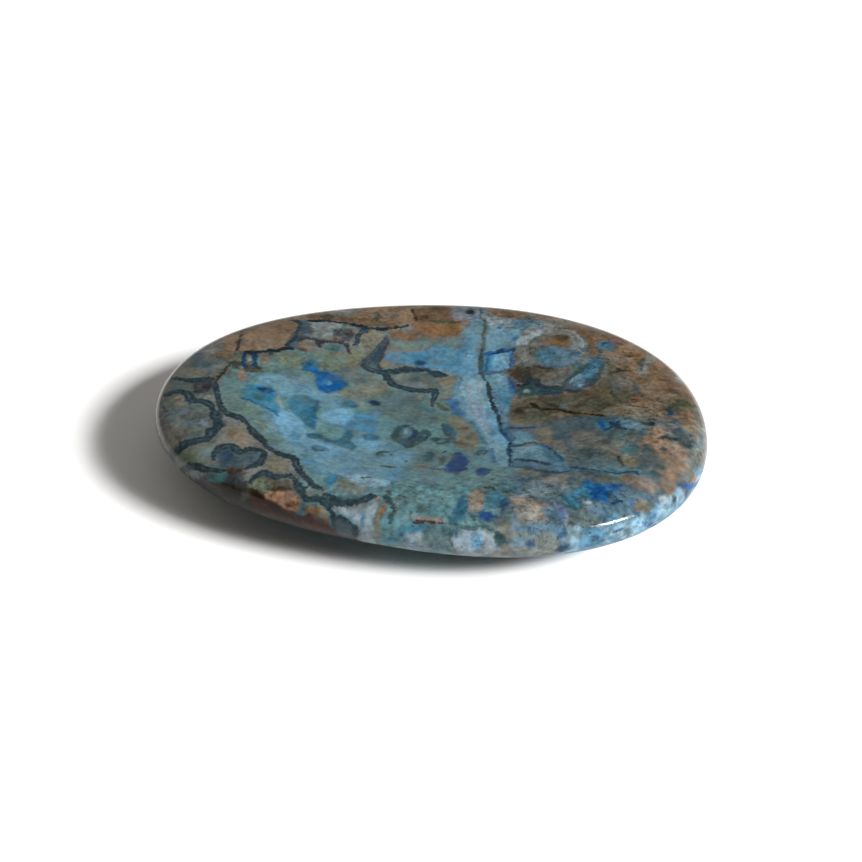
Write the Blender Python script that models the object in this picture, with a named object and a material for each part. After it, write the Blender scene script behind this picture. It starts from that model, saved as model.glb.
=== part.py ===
"""A worry stone of crazy lace agate: one oval pebble, polished all over.

Metres, +Z up. The origin is the middle of the stone's plan at the height of the small flat spot that it
rests on. The long axis lies along X with the blunter end at +X, and the thumb hollow is ground into the top.
"""

import math

import bmesh
import bpy

MM = 0.001

# The plan: a slightly egg-shaped, slightly squarish oval. Each swell is a wave round the outline, given as
# the waves in a full turn with the cosine and sine shares of the radius that it adds.
HALF_LENGTH = 22.85 * MM
HALF_WIDTH = 17.57 * MM
OUTLINE_SWELLS = ((3, -0.0256, -0.0162), (4, -0.0151, -0.0058), (5, 0.003, 0.0038))

# The section: the edge is a full round whose widest line is the girdle. Above it a flat face, below it a dome.
GIRDLE_HEIGHT = 5.1 * MM
TOP_RISE = 1.7 * MM
TOP_SQUARENESS = 20.0
DOME_SQUARENESS = 2.2
REST_SPOT_SHARE = 0.31

# The thumb hollow: a shallow oval bowl whose rim the polishing has rounded over.
HOLLOW_HALF_LENGTH = 14.8 * MM
HOLLOW_HALF_WIDTH = 12.9 * MM
HOLLOW_DEPTH = 1.7 * MM
HOLLOW_RIM_SOFTNESS = 0.12

# How finely the skin is divided.
POINTS_AROUND = 128
DOME_RINGS = 10
EDGE_RINGS = 9
FACE_RINGS = 16
EDGE_END = math.radians(84.0)

STONE_COLOUR = (0.20, 0.21, 0.22, 1.0)
POLISH_ROUGHNESS = 0.08


def oval_point(angle):
    """A point of the outline, before the plan is centred on the origin."""
    swell = 1.0
    for waves, cosine_share, sine_share in OUTLINE_SWELLS:
        swell += cosine_share * math.cos(waves * angle) + sine_share * math.sin(waves * angle)
    return HALF_LENGTH * swell * math.cos(angle), HALF_WIDTH * swell * math.sin(angle)


def centred_outline():
    """The outline's points and the shift that puts the middle of its box over the origin."""
    points = [oval_point(math.tau * i / POINTS_AROUND) for i in range(POINTS_AROUND)]
    xs = [x for x, y in points]
    ys = [y for x, y in points]
    shift = (-(min(xs) + max(xs)) / 2, -(min(ys) + max(ys)) / 2)
    return points, shift


def dome_rings():
    """From the rest spot's rim up to the girdle: each ring's share of the outline and its height."""
    spot_angle = math.acos(REST_SPOT_SHARE ** (DOME_SQUARENESS / 2))
    full_drop = GIRDLE_HEIGHT / math.sin(spot_angle)
    rings = []
    for i in range(DOME_RINGS + 1):
        angle = spot_angle * (1 - i / DOME_RINGS)
        rings.append((math.cos(angle) ** (2 / DOME_SQUARENESS), GIRDLE_HEIGHT - full_drop * math.sin(angle)))
    return rings


def edge_rings():
    """Over the rounded edge, from just above the girdle to where the face is all but flat."""
    rings = []
    for i in range(1, EDGE_RINGS + 1):
        angle = EDGE_END * i / EDGE_RINGS
        rings.append((math.cos(angle) ** (2 / TOP_SQUARENESS), GIRDLE_HEIGHT + TOP_RISE * math.sin(angle)))
    return rings


def face_rings(start_share):
    """Inwards over the top face, nearly to its middle."""
    rings = []
    for i in range(1, FACE_RINGS):
        share = start_share * (1 - i / FACE_RINGS)
        rings.append((share, GIRDLE_HEIGHT + TOP_RISE * math.sqrt(1 - share ** TOP_SQUARENESS)))
    return rings


def hollow_drop(x, y):
    """How far the thumb hollow lowers the top face at a point of the plan."""
    inside = 1 - (x / HOLLOW_HALF_LENGTH) ** 2 - (y / HOLLOW_HALF_WIDTH) ** 2
    return HOLLOW_DEPTH * (inside + math.hypot(inside, HOLLOW_RIM_SOFTNESS)) / 2


def skin_mesh():
    """The whole skin as rings of points joined by quads, closed by the rest spot and the hollow's middle."""
    outline, (shift_x, shift_y) = centred_outline()
    below = dome_rings()
    edge = edge_rings()
    above = edge + face_rings(edge[-1][0])
    bm = bmesh.new()

    def ring_of_points(share, height, hollowed):
        ring = []
        for x, y in outline:
            drop = hollow_drop(share * x, share * y) if hollowed else 0.0
            ring.append(bm.verts.new((share * x + shift_x, share * y + shift_y, height - drop)))
        return ring

    rings = [ring_of_points(share, height, False) for share, height in below]
    rings += [ring_of_points(share, height, True) for share, height in above]
    for lower, upper in zip(rings, rings[1:]):
        for i in range(POINTS_AROUND):
            j = (i + 1) % POINTS_AROUND
            bm.faces.new((lower[i], lower[j], upper[j], upper[i]))
    rest_spot = bm.faces.new(reversed(rings[0]))
    middle = bm.verts.new((shift_x, shift_y, GIRDLE_HEIGHT + TOP_RISE - hollow_drop(0.0, 0.0)))
    for i in range(POINTS_AROUND):
        bm.faces.new((rings[-1][i], rings[-1][(i + 1) % POINTS_AROUND], middle))
    for face in bm.faces:
        face.smooth = face is not rest_spot
    mesh = bpy.data.meshes.new("worry_stone")
    bm.to_mesh(mesh)
    bm.free()
    return mesh


def polished_agate():
    material = bpy.data.materials.new("polished_agate")
    material.use_nodes = True
    shader = material.node_tree.nodes["Principled BSDF"]
    shader.inputs["Base Color"].default_value = STONE_COLOUR
    shader.inputs["Roughness"].default_value = POLISH_ROUGHNESS
    shader.inputs["Metallic"].default_value = 0.0
    return material


def main():
    for old in list(bpy.data.objects):
        bpy.data.objects.remove(old)
    stone = bpy.data.objects.new("worry_stone", skin_mesh())
    stone.data.materials.append(polished_agate())
    bpy.context.scene.collection.objects.link(stone)


main()
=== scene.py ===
# %% [markdown]
# # A worry stone of crazy lace agate
#
# One natural stone, about 45 mm long: banded agate, sawn to an oval, ground with a hollow for the thumb and
# polished. There is nothing to assemble, so the lesson is about two things. First a form that follows a rule,
# which Geometry Nodes write down once. Then a pattern that is laid out vein by vein, and that the material
# finishes with grain too fine to place by hand.

# %% The imported stone as the frame
import math

import bpy
import numpy as np
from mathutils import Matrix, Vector


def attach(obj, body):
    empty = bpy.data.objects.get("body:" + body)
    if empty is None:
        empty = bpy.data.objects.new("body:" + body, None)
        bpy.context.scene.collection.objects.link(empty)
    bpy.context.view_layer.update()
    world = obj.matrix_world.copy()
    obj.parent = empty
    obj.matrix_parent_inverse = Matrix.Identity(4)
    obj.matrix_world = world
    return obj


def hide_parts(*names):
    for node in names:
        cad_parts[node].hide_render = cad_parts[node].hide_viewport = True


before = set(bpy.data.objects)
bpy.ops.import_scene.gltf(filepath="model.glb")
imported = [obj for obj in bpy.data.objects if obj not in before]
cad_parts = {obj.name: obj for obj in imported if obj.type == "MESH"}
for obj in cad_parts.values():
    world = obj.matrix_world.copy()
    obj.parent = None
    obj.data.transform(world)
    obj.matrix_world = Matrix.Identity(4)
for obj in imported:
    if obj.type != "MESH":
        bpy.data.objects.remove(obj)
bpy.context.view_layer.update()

scene = bpy.context.scene
MM = 0.001

# %% [markdown]
# ## The form
#
# From above the stone is an oval with a blunt and a slender end. Its edge is a full round, its top is flat with
# a shallow bowl ground in, and its underside is a low dome with a small flat spot to rest on. It could be
# sculpted, but every point of it follows one rule, so a tree of nodes bends a plain cube into it: the cube's top
# becomes the face, its sides the rounded edge and its bottom the dome. A cube gives even quads with no pole,
# which the painted pattern needs.

# %% Sizes of the stone
HALF_LENGTH = 22.85 * MM
HALF_WIDTH = 17.57 * MM
OUTLINE_SWELLS = ((3, -0.0256, -0.0162), (4, -0.0151, -0.0058), (5, 0.003, 0.0038))  # waves, cosine, sine share
GIRDLE_HEIGHT = 5.1 * MM
TOP_RISE = 1.7 * MM
DOME_SQUARENESS = 2.2
REST_SPOT_SHARE = 0.31
FACE_ANGLE = math.radians(69.6)
DOME_ANGLE = math.radians(45.0)
MERGE = 0.001 * MM


def outline_points(angle):
    """The plan's outline in metres, before it is centred."""
    swell = np.ones(len(angle))
    for waves, cosine, sine in OUTLINE_SWELLS:
        swell += cosine * np.cos(waves * angle) + sine * np.sin(waves * angle)
    return HALF_LENGTH * swell * np.cos(angle), HALF_WIDTH * swell * np.sin(angle)


PLAN_SHIFT = [-(side.min() + side.max()) / 2 for side in outline_points(np.linspace(0.0, math.tau, 721)[:720])]
STONE_INPUTS = {
    "Half length": HALF_LENGTH, "Half width": HALF_WIDTH, "Girdle height": GIRDLE_HEIGHT,
    "Top rise": TOP_RISE, "Top squareness": 20.0,
    "Dome drop": GIRDLE_HEIGHT / math.sqrt(1 - REST_SPOT_SHARE ** DOME_SQUARENESS),
    "Dome squareness": DOME_SQUARENESS,
    "Hollow half length": 14.8 * MM, "Hollow half width": 12.9 * MM,
    "Hollow depth": 1.7 * MM, "Hollow rim softness": 0.12,
    "Shift along": PLAN_SHIFT[0], "Shift across": PLAN_SHIFT[1],
    "Length divisions": 320, "Width divisions": 202, "Edge divisions": 22, "Underside step": 3,
}
print("plan shift in mm:", [round(v / MM, 3) for v in PLAN_SHIFT])

# %% A short way to write sums in a node tree


def feed(socket, value):
    """Links a value into a socket if it comes out of a node, and else sets it."""
    if isinstance(value, Sum):
        value = value.socket
    if isinstance(value, bpy.types.NodeSocket):
        socket.id_data.links.new(value, socket)
    else:
        socket.default_value = value


def reckon(operation, *values):
    """Adds one Math node to the tree that the values come from."""
    tree = next(value.socket.id_data for value in values if isinstance(value, Sum))
    node = tree.nodes.new("ShaderNodeMath")
    node.operation = operation
    for socket, value in zip(node.inputs, values):
        feed(socket, value)
    return Sum(node.outputs[0])


class Sum:
    """A number on its way through a node tree. A sum that is written with it becomes Math nodes."""

    def __init__(self, socket):
        self.socket = socket

    def by(self, operation, *others):
        return reckon(operation, self, *others)

    __add__ = lambda a, b: reckon("ADD", a, b)
    __mul__ = lambda a, b: reckon("MULTIPLY", a, b)
    __sub__ = lambda a, b: reckon("SUBTRACT", a, b)
    __rsub__ = lambda a, b: reckon("SUBTRACT", b, a)
    __truediv__ = lambda a, b: reckon("DIVIDE", a, b)
    __rtruediv__ = lambda a, b: reckon("DIVIDE", b, a)
    __pow__ = lambda a, b: reckon("POWER", a, b)
    __lt__ = lambda a, b: reckon("LESS_THAN", a, b)
    __gt__ = lambda a, b: reckon("GREATER_THAN", a, b)


def place(tree, kind, **values):
    """Adds a node and links or sets its inputs by name, with _ for a space."""
    node = tree.nodes.new(kind)
    for name, value in values.items():
        feed(node.inputs[name.replace("_", " ")], value)
    return node


# %% The rule of the form as a tree


def stone_tree(material):
    tree = bpy.data.node_groups.new("Polished oval stone", "GeometryNodeTree")
    for name, value in STONE_INPUTS.items():
        kind = "NodeSocketInt" if isinstance(value, int) else "NodeSocketFloat"
        tree.interface.new_socket(name, in_out="INPUT", socket_type=kind).default_value = value
    tree.interface.new_socket("Stone", in_out="OUTPUT", socket_type="NodeSocketGeometry")
    (half_length, half_width, girdle, top_rise, top_squareness, dome_drop, dome_squareness,
     hollow_half_length, hollow_half_width, hollow_depth, rim_softness, shift_along, shift_across,
     columns, rows, layers, step, *_) = map(Sum, tree.nodes.new("NodeGroupInput").outputs)

    cube = place(tree, "GeometryNodeMeshCube", Size=(2.0, 2.0, 2.0),
                 Vertices_X=columns + 1, Vertices_Y=rows + 1, Vertices_Z=layers + 1)
    corner = place(tree, "ShaderNodeSeparateXYZ", Vector=tree.nodes.new("GeometryNodeInputPosition").outputs[0])
    along, across, up = map(Sum, corner.outputs)

    def farther(one, other):
        return one.by("ABSOLUTE").by("MAXIMUM", other.by("ABSOLUTE"))

    # The underside needs a coarser net than the top, so its inner points close up in groups.
    inner = (up < -0.999) * (farther(along, across) < 0.999)

    def grouped(side, divisions):
        number = ((side + 1.0) * 0.5 * divisions).by("ROUND")
        group = ((number - 0.5) / step).by("FLOOR")
        middle = (group * step + 2.0).by("MINIMUM", divisions - 1.0)
        return side + inner * (middle * 2.0 / divisions - 1.0 - side)

    along, across = grouped(along, columns), grouped(across, rows)

    # Square rings of the cube become round rings of the stone.
    ring = farther(along, across)
    slant_along, slant_across = [(side / ring * (math.pi / 4)).by("TANGENT") for side in (along, across)]
    angle = slant_across.by("ARCTAN2", slant_along)
    swell = 1.0
    for waves, cosine, sine in OUTLINE_SWELLS:
        swell = (angle * waves).by("COSINE") * cosine + swell
        swell = (angle * waves).by("SINE") * sine + swell

    # The section: how far out and how high each ring lies, above or below the girdle.
    above = up > 0.0

    def either(over, under):
        return above * over + (1.0 - above) * under

    squareness = either(top_squareness, dome_squareness)
    lean = up * either(FACE_ANGLE, DOME_ANGLE)
    share = ring * lean.by("COSINE") ** (2.0 / squareness)
    rise = (1.0 - share ** squareness).by("SQRT")
    height = (girdle + rise * either(top_rise, dome_drop * -1.0)).by("MAXIMUM", 0.0)
    x = angle.by("COSINE") * half_length * (swell * share)
    y = angle.by("SINE") * half_width * (swell * share)

    # The thumb hollow, rounded over at its rim.
    inside = 1.0 - ((x / hollow_half_length) ** 2.0 + (y / hollow_half_width) ** 2.0)
    softened = (inside ** 2.0 + rim_softness ** 2.0).by("SQRT")
    height = height - above * (hollow_depth * 0.5 * (inside + softened))

    point = place(tree, "ShaderNodeCombineXYZ", X=x + shift_along, Y=y + shift_across, Z=height)
    form = cube.outputs["Mesh"]
    for kind, values in (("SetPosition", {"Position": point.outputs[0]}), ("MergeByDistance", {"Distance": MERGE}),
                         ("SetShadeSmooth", {}), ("RealizeInstances", {}), ("SetMaterial", {"Material": material})):
        form = place(tree, "GeometryNode" + kind, Geometry=form, **values).outputs[0]
    place(tree, "NodeGroupOutput", Stone=form)
    return tree


# %% The tree run once, and its result kept as a plain mesh


def added(name, data):
    """A new object in the scene."""
    thing = bpy.data.objects.new(name, data)
    scene.collection.objects.link(thing)
    return thing


def grown_mesh(tree, name):
    """Runs the tree on an empty mesh and gives back an object with the result as its own mesh."""
    seed = added(name + "_seed", bpy.data.meshes.new(name + "_seed"))
    seed.modifiers.new("form", "NODES").node_group = tree
    mesh = bpy.data.meshes.new_from_object(seed.evaluated_get(bpy.context.evaluated_depsgraph_get()))
    seed.modifiers.clear()
    bpy.data.objects.remove(seed)
    mesh.name = name
    return added(name, mesh)


agate = bpy.data.materials.new("polished_lace_agate")
agate.use_nodes = True
stone = grown_mesh(stone_tree(agate), "lace_agate")
COUNT = len(stone.data.vertices)
stone_points = np.empty(COUNT * 3, np.float32)
stone.data.vertices.foreach_get("co", stone_points)
stone_points = stone_points.reshape(-1, 3).astype(float) / MM
print("stone:", COUNT, "points,", sum(len(p.vertices) - 2 for p in stone.data.polygons), "triangles")
print("from", stone_points.min(0).round(2), "to", stone_points.max(0).round(2), "mm")

# %% [markdown]
# ## The pattern
#
# In the real stone every colour is a layer of quartz that grew in a crack or a hollow, stained by iron to tan
# and rust, and by copper to teal and blue. Where the layers meet the polished skin they show as lace. Noise
# alone can't make such a pattern, because the stone is known by its places: the blue vein, the two dark bands,
# the eyes. So it is painted as a miniature painter would: a ground, then patches from large to small, then
# lines, each placed from the middle of the stone. The paint is kept as colours on the mesh points.

# %% The paint box


def rows_of(text):
    """The rows of a list: each has a tone, its numbers, and after a colon the corners of a curve.

    A row without a tone keeps the one before it, and each corner is a step from the one before it. Places are
    in tenths of a millimetre, other lengths in hundredths, and shares in percent."""
    for row in text.split(";"):
        head, _, corners = row.partition(":")
        numbers = head.split()
        if numbers[0].isalpha():
            tone = numbers.pop(0)
        corners = np.array(corners.split(), float).reshape(-1, 2)
        yield tone, [int(number) for number in numbers], np.cumsum(corners, axis=0) / 10


# Each tone is what the eye sees on the finished stone in daylight, from 0 to 255.
TONES = {tone: np.array(seen) / 255 for tone, seen, _ in rows_of("""
ash 104 106 101; chalk 120 120 117; grey 117 126 125; smoke 88 98 96; tan 127 107 88; dun 113 95 77; brown 100 81 62;
rust 104 70 52; umber 60 52 42; orange 120 92 70; amber 112 90 56; olive 84 82 68; moss 68 73 54; sand 117 113 98;
fawn 136 115 98; rose 130 119 111; slate 68 84 92; plum 55 54 58; band 46 62 67; bark 78 71 60; peach 150 116 94; ink
46 60 65; pitch 33 44 47; lilac 111 120 136; mist 140 153 160; cream 150 149 139; sage 93 117 114; lichen 99 107 92;
jade 64 98 100; pine 52 76 76; petrol 50 94 114; teal 62 112 134; lagoon 76 122 147; sky 106 152 178; ice 128 160 176;
cyan 52 119 153; royal 22 84 140; indigo 40 66 98; navy 34 60 86; steel 86 116 134; haze 99 135 150; aqua 93 127 131;
storm 78 94 98; soot 42 37 30; blood 66 40 32; milk 178 192 200; violet 40 68 114; blush 146 98 100
""")}
LIGHT = np.array((1.41, 1.37, 1.34))
GLOSS = 0.007


def pigment(name):
    """The stone's own colour for a tone, without the light and the gloss that the eye sees with it."""
    seen = TONES[name]
    linear = np.where(seen < 0.04045, seen / 12.92, ((seen + 0.055) / 1.055) ** 2.4)
    return np.maximum(linear - GLOSS, 0.003) / LIGHT


print(len(TONES), "tones; tan is", pigment("tan").round(3))

# %% Noise that is the same on every run


def cloud(points, size, seed):
    """Soft noise from -1 to 1 at each point, in lumps about so many mm across."""
    cell = np.floor(points / size)
    part = points / size - cell
    part = part * part * (3 - 2 * part)
    total = np.zeros(len(points))
    for corner in np.ndindex(2, 2, 2):
        value = np.sin((cell + corner) @ (127.1, 311.7, 74.7) + seed * 53.3) * 43758.5453
        weight = np.prod(np.where(corner, part, 1 - part), axis=1)
        total += weight * (2 * (value - np.floor(value)) - 1)
    return total


raggedness = (0.5 * cloud(stone_points, 1.0, 5) + 0.35 * cloud(stone_points, 0.45, 6)
              + 0.25 * cloud(stone_points, 0.25, 12))
print("raggedness from", raggedness.min().round(2), "to", raggedness.max().round(2))

# %% Where each point lies on the outline
# How far along from the middle of the near side, which is the middle of the turn, and how far down over the edge.
turn = np.linspace(-1.5 * math.pi, 0.5 * math.pi, 1441)
rim = np.stack(outline_points(turn), axis=1) / MM
step = np.gradient(rim, axis=0)
outward = np.stack([step[:, 1], -step[:, 0]], axis=1) / np.hypot(*step.T)[:, None]
run = np.concatenate([[0.0], np.cumsum(np.hypot(*np.diff(rim, axis=0).T))])
from_middle = stone_points[:, :2] - np.array(PLAN_SHIFT) / MM
angle = np.arctan2(*(from_middle / (HALF_LENGTH, HALF_WIDTH)).T[::-1])
angle = np.where(angle > 0.5 * math.pi, angle - math.tau, angle)
rim, outward = (np.stack([np.interp(angle, turn, side) for side in table.T], axis=1) for table in (rim, outward))
share = np.hypot(*from_middle.T) / np.hypot(*rim.T)
height, girdle, rise = stone_points[:, 2], GIRDLE_HEIGHT / MM, TOP_RISE / MM
down = girdle + rise - height - (1 - share) * (rim * outward).sum(axis=1)
down = np.where(height < girdle - 0.05, girdle + rise - height, np.where(share > 0.85, down, -9.0))
edge_plan = np.stack([np.interp(angle, turn, run - run[720]), -down], axis=1)

# The face's pattern is folded over the edge. Below the girdle the layers slant and wander, so the back is no copy.
depth = np.clip(1 - height / girdle, 0, 1)[:, None]
wander = 3.0 * depth * np.stack([cloud(stone_points, 6.0, seed) for seed in (1, 2)], axis=1)
plan = stone_points[:, :2] - outward * (share * np.clip(down, 0, rise))[:, None]
plan += depth * (2.5, -1.8) + wander
for size, reach, seeds in ((1.6, 0.10, (3, 4)), (0.7, 0.08, (8, 9)), (0.35, 0.05, (10, 11))):
    ripple = reach * np.stack([cloud(stone_points, size, seed) for seed in seeds], axis=1)
    plan += ripple
    edge_plan += ripple
print("the layers wander up to", np.abs(wander).max().round(1), "mm underneath")

# %% Curves and the points by them


def rounded(corners, closed, steps=6):
    """A smooth curve through the corners."""
    if closed:
        before, after = corners[-1:], corners[:2]
    else:
        before, after = 2 * corners[:1] - corners[1:2], 2 * corners[-1:] - corners[-2:-1]
    p = np.concatenate([before, corners, after])[:, None]
    a, b, c, d = p[:-3], p[1:-2], p[2:-1], p[3:]
    t = (np.arange(steps) / steps)[:, None]
    curve = b + 0.5 * t * (c - a + t * (2 * a - 5 * b + 4 * c - d + t * (3 * (b - c) + d - a)))
    return np.concatenate([curve.reshape(-1, 2), corners[:0] if closed else corners[-1:]])


def nearest_on(curve, points):
    """For each point: how far along the curve its nearest place lies, and how far away."""
    start, span = curve[:-1], np.diff(curve, axis=0)
    length = np.hypot(*span.T)
    run = np.concatenate([[0.0], np.cumsum(length)[:-1]])
    best = np.full(len(points), np.inf)
    along = np.zeros(len(points))
    for (x, y), (dx, dy), size, before in zip(start, span, length, run):
        px, py = points[:, 0] - x, points[:, 1] - y
        share = np.clip((px * dx + py * dy) / size ** 2, 0, 1)
        away = np.hypot(px - share * dx, py - share * dy)
        closer = away < best
        best[closer] = away[closer]
        along[closer] = (before + share * size)[closer]
    return along, best


def is_inside(loop, points):
    """True for the points that the closed curve goes round."""
    inside = np.zeros(len(points), bool)
    for (x0, y0), (x1, y1) in zip(loop, np.roll(loop, -1, axis=0)):
        crosses = (y0 > points[:, 1]) != (y1 > points[:, 1])
        inside[crosses] ^= points[crosses, 0] < x0 + (points[crosses, 1] - y0) * (x1 - x0) / (y1 - y0)
    return inside


def points_round(curve, reach):
    """The stone's points in the box round the curve, widened by the reach."""
    low, high = curve.min(0) - reach, curve.max(0) + reach
    return np.flatnonzero(np.all((plan > low) & (plan < high), axis=1))


# %% The brushes for patches and spots
paint = np.tile(pigment("ash"), (COUNT, 1))


def cover_with(near, tone, edge, softness, strength=1.0):
    """Lays a tone over the points, fully where the edge is well below 0 and fading where it passes 0."""
    edge = edge + raggedness[near] * (0.15 + 0.55 * softness)
    cover = np.clip(0.5 - edge / (0.7 * softness), 0, 1)
    points = stone_points[near]
    thin = 1 - 0.4 * np.clip(cloud(points, 0.55, 14) + 0.3 * cloud(points, 1.4, 15), 0, 1)
    cover = (strength * thin * cover * cover * (3 - 2 * cover))[:, None]
    paint[near] += cover * (pigment(tone) - paint[near])
    if softness < 0.7:
        # Where two layers meet there is often a thin dark skin.
        skin = 0.30 * strength * np.exp(-(edge / 0.14) ** 2) * np.clip(0.5 + cloud(points, 1.5, 13), 0, 1)
        paint[near] *= 1 - skin[:, None]


def lay_patches(text):
    """Each row: tone, how softly its edge fades, strength, and the corners of its outline."""
    for tone, (softness, *strength), corners in rows_of(text):
        loop = rounded(corners, closed=True)
        near = points_round(loop, 0.3 + softness / 100)
        away = nearest_on(np.concatenate([loop, loop[:1]]), plan[near])[1]
        edge = np.where(is_inside(loop, plan[near]), -away, away)
        cover_with(near, tone, edge, softness / 100, *(share / 100 for share in strength))


def dab_spots(text):
    """Each row: tone, softness, place along and across, half width, half height, strength, turn in degrees."""
    for tone, numbers, _ in rows_of(text):
        softness, x, y, wide, high, strength, turn = np.array(numbers + [100, 0][len(numbers) - 5:]) / 100
        middle = np.array([x, y]) * 10
        near = points_round(middle[None], max(wide, high) + softness + 0.3)
        dx, dy = (plan[near] - middle).T
        c, s = math.cos(math.radians(100 * turn)), math.sin(math.radians(100 * turn))
        out = np.hypot((dx * c + dy * s) / wide, (dy * c - dx * s) / high)
        cover_with(near, tone, (out - 1) * min(wide, high), softness, strength)


print("brushes ready for", COUNT, "points")

# %% [markdown]
# ### Lines
#
# The dark lace bands and cracks are finer than the mesh, and painted on its points they would look like beads.
# So each point keeps how far away the nearest line lies, how wide it is there, and its tone. The distance is
# smooth between points, and the material turns it into a ragged line.

# %% The line brush
LINE_REACH = 0.45
line_away = np.full(COUNT, 2.0)
line_depth = np.full(COUNT, -9.0)
line_half, line_core, line_strength = np.zeros(COUNT), np.zeros(COUNT), np.ones(COUNT)
line_tone = np.tile(pigment("ink"), (COUNT, 1))


def draw_lines(text):
    """Each row: tone, width, strength, how light its core is, and the corners that it runs through."""
    for tone, numbers, corners in rows_of(text):
        width, strength, core = np.array(numbers + [100, 0][len(numbers) - 1:]) / 100
        curve = rounded(corners, closed=False)
        near = points_round(curve, width / 2 + LINE_REACH)
        along, away = nearest_on(curve, plan[near])
        length = np.hypot(*np.diff(curve, axis=0).T).sum()
        taper = np.clip(np.minimum(along, length - along) / (1.5 * width), 0, 1) ** 0.5
        half = width / 2 * taper * (1 + 0.4 * cloud(stone_points[near], 1.1, 7))
        wins = (half - away > line_depth[near]) & (away < half + LINE_REACH)
        on = near[wins]
        line_depth[on], line_away[on], line_half[on] = (half - away)[wins], away[wins], half[wins]
        line_tone[on], line_core[on], line_strength[on] = pigment(tone), core, strength


print("line brush ready")

# %% Where the stone is specked
# Each row: the middle of a zone, its half width and half height in mm, and how thickly it is specked.
speck_zone = np.zeros(COUNT)
for x, y, wide, high, amount in np.array("""
        18.5 0 4.5 5 0.8  12 -12.5 9 4.2 0.65  3 -14.5 7 3 0.6  13 8 5 5 0.7  7 7.5 3 3.5 0.7  4 13.8 5 2.2 0.7  -8
        12.5 7 3 0.4  -10 8 3.5 2.2 0.5  -16 2 2 3 0.6  -9 -16 6 1.8 0.6  12 1.5 7 2.2 0.6  14 -5.5 5 3 0.4  -18.5
        -6.5 3 4 0.4  -12 -12.5 3 1.5 0.4  -11 3.5 2.5 1.2 0.5
        """.split(), float).reshape(-1, 5):
    out = np.hypot((plan[:, 0] - x) / wide, (plan[:, 1] - y) / high)
    speck_zone = np.maximum(speck_zone, amount * np.clip(1.6 - 1.2 * out, 0, 1))
print("specked share:", (speck_zone > 0.3).mean().round(2))

# %% [markdown]
# ### The ground
#
# First the large fields, with soft edges: tan at the upper ends, a grey-green pool, blue-grey to the lower right.

# %% The large fields
lay_patches("""
aqua 300: -175 10 20 -75 30 -20 85 -80 140 -5 40 30 -40 60 -60 110 -40 30 -50 -10 -50 10; storm 200: 90 -3 70 0 20 -12
-10 -25 20 -40 30 -10 -40 -50 -60 -30 -40 10 5 70 40 10 -15 50; sage 150: -174 10 18 -70 26 -16 25 -30 21 -14 -2 25
-32 45 -30 14 -2 36 70 0 50 -25 70 15 -30 35 -50 5 -40 20 -55 -5 -20 -35; tan 120: -160 103 70 2 50 10 43 11 -11 14 -4
26 -68 -6 -60 -25 -30 -25; ash 100: -220 60 35 15 5 -45 5 -45 -51 0 -4 45; dun 120: 55 165 25 -30 50 -45 0 -40 -64 -20
2 -36 72 6 45 4 35 -14 5 50 -15 50 -50 50 -50 25; smoke 100: -225 -15 45 0 13 -30 17 -50 -15 -13 -35 0 -25 48
""")
dab_spots("""
sky 300 -95 -63 320 160 80 -55; 300 35 20 180 600 80 28; haze 300 -50 -100 450 300 80; 250 -105 -5 350 150 80 10
""")

# %% [markdown]
# ### The left end
#
# A block of plain tan, blue fingers under it, a dark red clot, and a grey lobe inside a scalloped dark band.

# %% The left end
lay_patches("""
chalk 80: -225 55 27 5 5 -15 -3 -20 -14 4 -16 1; tan 50: -195 68 12 -4 3 -16 4 -14 -10 -2 -6 16; slate 90 90: -212 29
14 -5 10 -22 -19 2 -7 12; sand 90 70: -218 0 32 -4 6 -9 -15 -3 -23 2; plum 50: -198 -18 8 0 8 3 6 -3 2 -8 -8 -13 -6 0
-4 8; chalk 50: -179 -46 6 -1 7 -4 6 -12 7 -6 4 -7 1 -12 2 -10 -4 -10 -14 -7 -12 2 16 -7 16 -9 0 15 10 7 10 -5 10 5 15
-9 -2 -12 -7 -7 -10 -4 10 -5 9 9 17 -2 9 0 14 -20 13 -2 14 -9 18 -2 2 10 -20 -4 -14 9 -25 24 -10 13 -13 4 -12 8 -18 20
-14 16 -14 5 -10 11 -6 12 -8 4; sand 70 70: -146 -76 11 2 15 -18 14 -17 -10 1 -10 -5 -17 13; 50: -98 -117 12 0 6 -18
-13 0 -7 5; sage 80 60: -156 -109 11 -1 1 -16 -24 9; aqua 40: -77 -130 21 -20 9 -8 -9 0 -8 5; dun 40: -188 34 13 -3 1
-11 -10 0 -7 6; lichen 50: -177 33 8 0 0 -14 -6 0; tan 35: -177 50 3 -15 19 3 6 4 11 10 0 30 -2 10 -10 5 -28 -19; dun
80 80: -164 92 16 6 8 -8 -1 -10 -11 -4 -14 4; slate 50: -133 49 6 4 -1 13 4 8 0 12 -5 10 -10 3 0 -6 4 -9 -2 -26
""")
dab_spots("""
amber 60 -143 85 30 50 60; 40 -138 -92 32 50 90 10; smoke 40 -185 15 30 45; slate 60 -188 -5 30 40; navy 30 -146 36 25
22; tan 35 -148 26 40 95 100 12; orange 30 -142 24 15 80 60 15; cream 30 -160 24 20 60 100 15; rust 40 -158 16 25 40
70; umber 60 -167 13 60 60 80; 60 -156 10 80 30 70; 60 -162 33 70 30 60; 40 -150 12 35 20; olive 40 -155 6 75 30; fawn
40 -158 -3 30 80 100 20; 80 -128 -100 70 30 70 -50; chalk 70 -196 -88 180 80 100 -50; lilac 50 -164 -81 55 50; 80 -183
-69 60 40 70 -30; sand 80 -197 -52 40 70 100 20; 60 -170 -93 50 30
""")

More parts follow.
